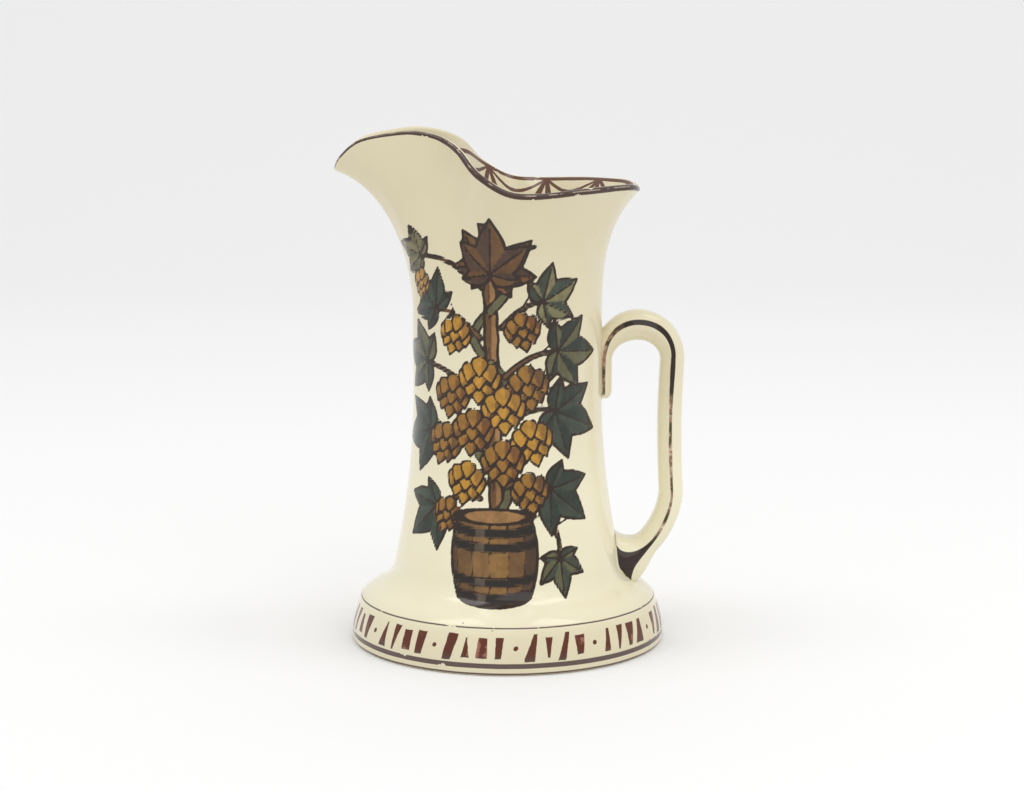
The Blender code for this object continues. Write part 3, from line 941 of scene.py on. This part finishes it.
azimuth = maths("ARCTAN2", along_y, along_x)
strokes = within(foot_strokes(azimuth, height, hand_wobble))
stroke_tone = lay_colour(stretched(height, 8.0, 5.5), RUST, RUST_DARK)
stroke_tone = lay_colour(stretched(wear, 0.60, 0.66, 0.0, 0.7), stroke_tone, RUST_WORN)
colour = lay_colour(strokes * on_outside, colour, stroke_tone)

foot_level = height + slow_wobble * 0.5
thin = worn_line(line_at(foot_level, *THIN_LINE), wear, 0.60, 0.66, 0.36)
thick = worn_line(line_at(foot_level, *THICK_LINE), wear, 0.64, 0.68, 1.0)
lowest = line_at(foot_level, *LOWEST_LINE)
foot_lines = maths("MINIMUM", maths("MINIMUM", thin, thick), lowest)
colour = lay_colour(within(foot_lines, 0.1) * on_outside, colour, LINE_BROWN)

run_round = painted_value(tree, "rim_run")
rim_level = painted_value(tree, "rim_depth") + slow_wobble
inner_hang = rim_level - stretched(run_round, 0.46, 0.74, 2.35, 8.6, "SMOOTHSTEP")
border = within(rim_border(inner_hang, run_round, hand_wobble))
colour = lay_colour(border * stretched(inner_hang, -0.5, 0.0), colour, BORDER_BROWN)
inner_line = worn_line(line_at(inner_hang, 0.0, 0.82), wear, 0.6, 0.68, 0.5)
colour = lay_colour(within(inner_line), colour, BORDER_BROWN)
past_inner = rim_level - stretched(run_round, 0.5, 0.64, 0.95, 0.05)
past_outer = stretched(run_round, 0.74, 0.98, -2.0, -1.0) - rim_level
crown_line = worn_line(maths("MAXIMUM", past_inner, past_outer), wear, 0.6, 0.7, 1.2)
colour = lay_colour(within(crown_line), colour, RIM_BROWN)
# A painted highlight: a pale line along the crown inside the dark rim line, broken up where the wear is
# strong
painted_highlight = worn_line(line_at(rim_level, -0.5, 0.2), wear, 0.56, 0.4, 0.5)
colour = lay_colour(within(painted_highlight, 0.2), colour, RIM_PAINTED_HIGHLIGHT)

bare = within(height - BARE_RING_HEIGHT, 0.08)
finish_glaze(ground, lay_colour(bare, colour, BISCUIT))
body_mesh.materials.append(body_glaze)

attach(body, "root")
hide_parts("jug")


# The handle: a ridged strap, pulled and luted on with slip before firing, its tail pressed
# down the neck and its root spread on the shoulder. A dark line follows the ridge on each
# side and widens into a three-cornered patch at the root.

FINGER_GAP = 21.8 * MM
STRAP_THICKNESS = 8.6 * MM
STRAP_WIDTH = 16.0 * MM
GRIP_BOW = 0.8 * MM
ARCH_THICKNESS = 10.6 * MM
ARCH_TOP_HEIGHT = 123.9 * MM
TAIL_STAND_OFF = 0.5 * MM
TAIL_THICKNESS = 6.0 * MM
TAIL_TIP_THICKNESS = 4.4 * MM
TAIL_WIDTH = 14.0 * MM
TAIL_TIP_WIDTH = 9.0 * MM
TAIL_TAPER = 5.0
TAIL_TIP_HEIGHT = 91.4 * MM
BEND_HEIGHT = 56.0 * MM
BEND_CURVE = 1.15
ROOT_HEIGHT = 29.5 * MM
ROOT_THICKNESS = 19.6 * MM
ROOT_WIDTH = 21.0 * MM
ROOT_FLARE_START = 0.55
ROOT_FLARE_END = 0.92
WALL_BITE = 2.4 * MM
ROOT_BURY = 3.0 * MM
TIP_ROUND = 1.3 * MM
LUTING_ROUND = 1.0 * MM
LUTING_START = 0.6 * MM

LINE_DARK = (38, 26, 16)
LINE_OLIVE = (78, 66, 38)
PATCH_BROWN = (52, 34, 34)

GRIP_X = NECK_RADIUS + FINGER_GAP + STRAP_THICKNESS / 2

# Where the arch starts and ends, and how long the patch is, in millimetres along the handle,
# and how far the painted line is lifted over the arch
ARCH_RUN = (18.0, 54.0)
ARCH_LINE_LIFT = 2.8
PATCH_START = 24.0
PATCH_END = 4.0


def handle_route():
    """The handle's middle line as (x, z, thickness, width), from the tail's tip to the root."""
    tail_x = NECK_RADIUS + TAIL_STAND_OFF
    arch_radius = (GRIP_X - tail_x) / 2
    arch_x = tail_x + arch_radius
    arch_z = ARCH_TOP_HEIGHT - ARCH_THICKNESS / 2 - arch_radius
    route = []
    for share in [0.0] + steps(0, 1, 1 / 26)[:-1]:
        climb = share**1.3
        swell = math.sin(min(climb * TAIL_TAPER, 1.0) * math.pi / 2)
        thickness = TAIL_TIP_THICKNESS + (TAIL_THICKNESS - TAIL_TIP_THICKNESS) * swell
        width = TAIL_TIP_WIDTH + (TAIL_WIDTH - TAIL_TIP_WIDTH) * swell
        x = tail_x - (TAIL_THICKNESS - thickness) / 2
        blunt = 1 - min(climb * (arch_z - TAIL_TIP_HEIGHT) / TIP_ROUND, 1.0)
        tip = 0.5 + 0.5 * math.sqrt(1 - blunt**2)
        thickness, width = thickness * tip, width * tip
        route.append((x, TAIL_TIP_HEIGHT + (arch_z - TAIL_TIP_HEIGHT) * climb, thickness, width))
    for share in [0.0] + steps(0, 1, 1 / 44):
        angle = math.pi * (1 - share)
        end = (TAIL_THICKNESS, TAIL_WIDTH) if share < 0.5 else (STRAP_THICKNESS, STRAP_WIDTH)
        swell = math.sin(angle) ** 1.5
        thickness = end[0] + (ARCH_THICKNESS - end[0]) * swell
        width = end[1] + (STRAP_WIDTH - end[1]) * swell
        x = arch_x + arch_radius * math.cos(angle)
        route.append((x, arch_z + arch_radius * math.sin(angle), thickness, width))
    for share in steps(0, 1, 1 / 24)[:-1]:
        x = GRIP_X - GRIP_BOW * math.sin(math.pi * share)
        route.append((x, arch_z + (BEND_HEIGHT - arch_z) * share, STRAP_THICKNESS, STRAP_WIDTH))
    root_x = body_radius(BASE_HEIGHT) - WALL_BITE / 2
    for share in [0.0] + steps(0, 1, 1 / 60):
        angle = share * math.pi / 2
        flare = (share - ROOT_FLARE_START) / (ROOT_FLARE_END - ROOT_FLARE_START)
        flare = min(max(flare, 0.0), 1.0)
        flare = flare * flare * (3 - 2 * flare)
        thickness = STRAP_THICKNESS + (ROOT_THICKNESS - STRAP_THICKNESS) * flare
        width = STRAP_WIDTH + (ROOT_WIDTH - STRAP_WIDTH) * flare
        x = root_x + (GRIP_X - root_x) * math.cos(angle) ** BEND_CURVE
        z = BEND_HEIGHT - (BEND_HEIGHT - ROOT_HEIGHT) * math.sin(angle) ** BEND_CURVE
        route.append((x, z, thickness, width))
    return route + [(root_x - ROOT_BURY, ROOT_HEIGHT, ROOT_THICKNESS, ROOT_WIDTH)]


# The strap's section: corners as shares of half its width and half its thickness, and how far
# each corner is rounded as a share of the edges beside it
STRAP_CORNERS = ((1.0, 0.0, 0.2), (0.58, 1.0, 0.42), (0.0, 1.08, 0.5), (-0.58, 1.0, 0.42))
CORNER_POINTS = 5


def strap_section():
    """The strap's section as shares of half its width and thickness, with its corners rounded."""
    corners = list(STRAP_CORNERS) + [(-side, -out, cut) for side, out, cut in STRAP_CORNERS]
    points = []
    for i, (side, out, cut) in enumerate(corners):
        corner = np.array((side, out))
        before = corner + (np.array(corners[i - 1][:2]) - corner) * cut
        after = corner + (np.array(corners[(i + 1) % len(corners)][:2]) - corner) * cut
        for k in range(CORNER_POINTS):
            share = k / (CORNER_POINTS - 0.999)
            rest = 1 - share
            points.append(rest**2 * before + 2 * rest * share * corner + share**2 * after)
    return points


section = strap_section()
route = handle_route()
pulled = bmesh.new()
number_on = pulled.verts.layers.int.new("number")
ridge_on = pulled.verts.layers.float.new("ridge_off")
run_on = pulled.verts.layers.float.new("handle_run")
ring = [pulled.verts.new((0, 0, 0)) for _ in section]
for i, vert in enumerate(ring):
    vert[number_on] = i
ring_edges = [pulled.edges.new((vert, ring[(i + 1) % len(ring)])) for i, vert in enumerate(ring)]
first_ring = list(ring_edges)
run = 0.0
for i, (x, z, thickness, width) in enumerate(route):
    before, after = route[max(i - 1, 0)], route[min(i + 1, len(route) - 1)]
    heading = np.array((after[0] - before[0], after[1] - before[1]))
    heading = heading / np.linalg.norm(heading)
    if i:
        run += math.hypot(x - route[i - 1][0], z - route[i - 1][1])
        drawn = bmesh.ops.extrude_edge_only(pulled, edges=ring_edges)["geom"]
        ring_edges = [item for item in drawn if isinstance(item, bmesh.types.BMEdge)]
        ring = [item for item in drawn if isinstance(item, bmesh.types.BMVert)]
        ring_edges = [edge for edge in ring_edges if all(vert in ring for vert in edge.verts)]
    for vert in ring:
        side, out = section[vert[number_on]]
        side, out = side * width / 2, out * thickness / 2
        vert.co = (x - heading[1] * out, side, z + heading[0] * out)
        vert[ridge_on] = out / MM
        vert[run_on] = run / MM
handle_length = run / MM
bmesh.ops.contextual_create(pulled, geom=first_ring)
bmesh.ops.contextual_create(pulled, geom=ring_edges)
bmesh.ops.triangulate(pulled, faces=[face for face in pulled.faces if len(face.verts) > 4])
bmesh.ops.recalc_face_normals(pulled, faces=pulled.faces)
handle = piece_from(pulled, "jug_handle")
handle_mesh = handle.data


def press_to_wall(points, normals):
    """Let the ends follow the wall: a bite into it, and a rounded fillet of slip outside it."""
    wall = np.interp(points[:, 2], outer_heights, outer_radii)
    reach = np.hypot(points[:, 0], points[:, 1])
    bite = wall - WALL_BITE
    nearest = np.sqrt(np.maximum(bite**2 - points[:, 1] ** 2, 0.0))
    moved = points.copy()
    moved[:, 0] = np.maximum(points[:, 0], nearest)
    gap = np.clip(reach - wall, 0, LUTING_ROUND)
    spread = LUTING_ROUND - np.sqrt(LUTING_ROUND**2 - (LUTING_ROUND - gap) ** 2)
    spread = np.where(reach > wall - LUTING_START, np.minimum(spread, LUTING_ROUND * 0.8), 0.0)
    return moved + normals * spread[:, None]


points = np.empty(len(handle_mesh.vertices) * 3)
normals = np.empty_like(points)
handle_mesh.vertices.foreach_get("co", points)
handle_mesh.vertex_normals.foreach_get("vector", normals)
points = press_to_wall(points.reshape(-1, 3), normals.reshape(-1, 3))
handle_mesh.vertices.foreach_set("co", points.ravel())
handle_mesh.update()
off_wall = np.hypot(points[:, 0], points[:, 1]) - np.interp(points[:, 2], outer_heights, outer_radii)
wall_gap = handle_mesh.attributes.new("wall_gap", "FLOAT", "POINT")
wall_gap.data.foreach_set("value", off_wall / MM)

handle_glaze = bpy.data.materials.new("jug_handle_glaze")
tree, where, ground = bare_ground(handle_glaze)
handle_run = painted_value(tree, "handle_run")
from_top = maths("ABSOLUTE", stretched(handle_run, *ARCH_RUN, -1.0, 1.0))
over_arch = maths("SMOOTH_MIN", 1.0 - from_top, 0.6, 0.3) * ARCH_LINE_LIFT
ridge_off = painted_value(tree, "ridge_off") - over_arch
wear = noise_of(where, *WEAR_GRAIN)
speckle = noise_of(where, 620.0, 5.0, 0.7)

half = stretched(handle_run, 60.0, 74.0, 0.95, 0.58, "SMOOTHSTEP")
half = half - stretched(handle_run, 4.0, 30.0, 0.45, 0.0)
to_root = stretched(handle_run, handle_length - PATCH_START, handle_length - PATCH_END)
inner_flare = maths("POWER", to_root, 3.2) * -6.0
outer_flare = maths("POWER", to_root, 3.4) * 5.6 + maths("POWER", to_root, 14.0) * 16.0
painted = maths("MAXIMUM", ridge_off - (half + outer_flare), inner_flare - half - ridge_off)
painted = painted + wobble_of(where, 90.0)
off_slip = 0.35 - painted_value(tree, "wall_gap") + stretched(to_root, 0.0, 0.1, -9.0, 0.0)
painted = maths("MAXIMUM", painted, off_slip)

on_arch = stretched(handle_run, 22.0, 30.0) * stretched(handle_run, 72.0, 66.0)
worn = 1.0 - maths("MAXIMUM", on_arch, stretched(to_root, 0.0, 0.3))
rubbed = stretched(wear, 0.44, 0.66) * stretched(speckle, 0.4, 0.6) * worn
dark = lay_colour(to_root, LINE_DARK, PATCH_BROWN)
rusty = lay_colour(stretched(wear, 0.42, 0.56), LINE_OLIVE, RUST_WORN)
line_tone = lay_colour(worn * 0.75, dark, rusty)
mask = within(painted, 0.16) * stretched(handle_run, 1.2, 2.4) * (1.0 - rubbed)
finish_glaze(ground, lay_colour(mask, Field(ground.outputs["Colour"]), line_tone))
handle_mesh.materials.append(handle_glaze)

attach(handle, "root")
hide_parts("jug")


# The studio: a pale paper sweep in even daylight, with a high window behind the camera and a
# softbox hung high to the left and the right, whose reflections lie on the jug's shoulder.

SWEEP_HALF = 2.5
SWEEP_RISE = 2.0
SWEEP_FOLD = 1.4
SWEEP_SEGMENTS = 32
PAPER_WHITE = (245, 245, 245)

paper = bmesh.new()
bmesh.ops.create_grid(paper, x_segments=1, y_segments=1, size=SWEEP_HALF)
back_edge = [edge for edge in paper.edges if all(vert.co.y > 0 for vert in edge.verts)]
raised = bmesh.ops.extrude_edge_only(paper, edges=back_edge)["geom"]
top_verts = [item for item in raised if isinstance(item, bmesh.types.BMVert)]
bmesh.ops.translate(paper, vec=(0, 0, SWEEP_RISE), verts=top_verts)
fold = [edge for edge in paper.edges if len(edge.link_faces) == 2]
bmesh.ops.bevel(
    paper,
    geom=fold,
    affect="EDGES",
    offset=SWEEP_FOLD,
    segments=SWEEP_SEGMENTS,
    profile=0.5,
    material=-1,
)
bmesh.ops.recalc_face_normals(paper, faces=paper.faces)
paper_sweep = piece_from(paper, "paper_sweep")
white_paper = bpy.data.materials.new("white_paper")
white_paper.use_nodes = True
paper_shader = white_paper.node_tree.nodes["Principled BSDF"]
set_sockets(paper_shader, Base_Color=(*linear(PAPER_WHITE), 1.0), Roughness=0.9)
paper_sweep.data.materials.append(white_paper)

DAYLIGHT = 0.835

world = bpy.data.worlds.new("daylight")
bpy.context.scene.world = world
world.use_nodes = True
sky = world.node_tree.nodes["Background"]
set_sockets(sky, Color=(1.0, 1.0, 1.0, 1.0), Strength=DAYLIGHT)

CAMERA_DISTANCE = 878.0 * MM
CAMERA_HEIGHT = 234.0 * MM
CAMERA_SIDE = 1.66 * MM
CAMERA_PITCH = 9.2
CAMERA_LENS = 83.7
CAMERA_SENSOR = 36.0

# In metres, and in watts
SOFTBOX_SIDE = 0.6
SOFTBOX_FRONT = 0.1
SOFTBOX_HEIGHT = 1.5
SOFTBOX_AIM = 0.05
SOFTBOX_SIZE = (0.44, 0.62)
SOFTBOX_POWER = 2.7
WINDOW_PLACE = (0.5, -1.35, 1.9)
WINDOW_AIM = 0.1
WINDOW_SIZE = (1.5, 1.5)
WINDOW_POWER = 6.8


def hang_lamp(name, x, y, z, aim, size, power):
    """A rectangular lamp that faces a height on the jug's axis."""
    lamp = bpy.data.lights.new(name, "AREA")
    lamp.shape = "RECTANGLE"
    lamp.size, lamp.size_y = size
    lamp.energy = power
    placed = bpy.data.objects.new(name, lamp)
    placed.location = (x, y, z)
    tilt = math.atan2(math.hypot(x, y), z - aim)
    turn = math.atan2(-y, -x) - math.pi / 2
    placed.rotation_euler = (tilt, 0.0, turn)
    bpy.context.collection.objects.link(placed)


for name, side in (("softbox_left", -SOFTBOX_SIDE), ("softbox_right", SOFTBOX_SIDE)):
    hang_lamp(name, side, -SOFTBOX_FRONT, SOFTBOX_HEIGHT, SOFTBOX_AIM, SOFTBOX_SIZE, SOFTBOX_POWER)
hang_lamp("window_light", *WINDOW_PLACE, WINDOW_AIM, WINDOW_SIZE, WINDOW_POWER)

lens = bpy.data.cameras.new("camera")
lens.lens = CAMERA_LENS
lens.sensor_width = CAMERA_SENSOR
camera = bpy.data.objects.new("camera", lens)
camera.location = (CAMERA_SIDE, -CAMERA_DISTANCE, CAMERA_HEIGHT)
camera.rotation_euler = (math.radians(90 - CAMERA_PITCH), 0.0, 0.0)
bpy.context.collection.objects.link(camera)
bpy.context.scene.camera = camera
bpy.context.scene.view_settings.view_transform = "Standard"
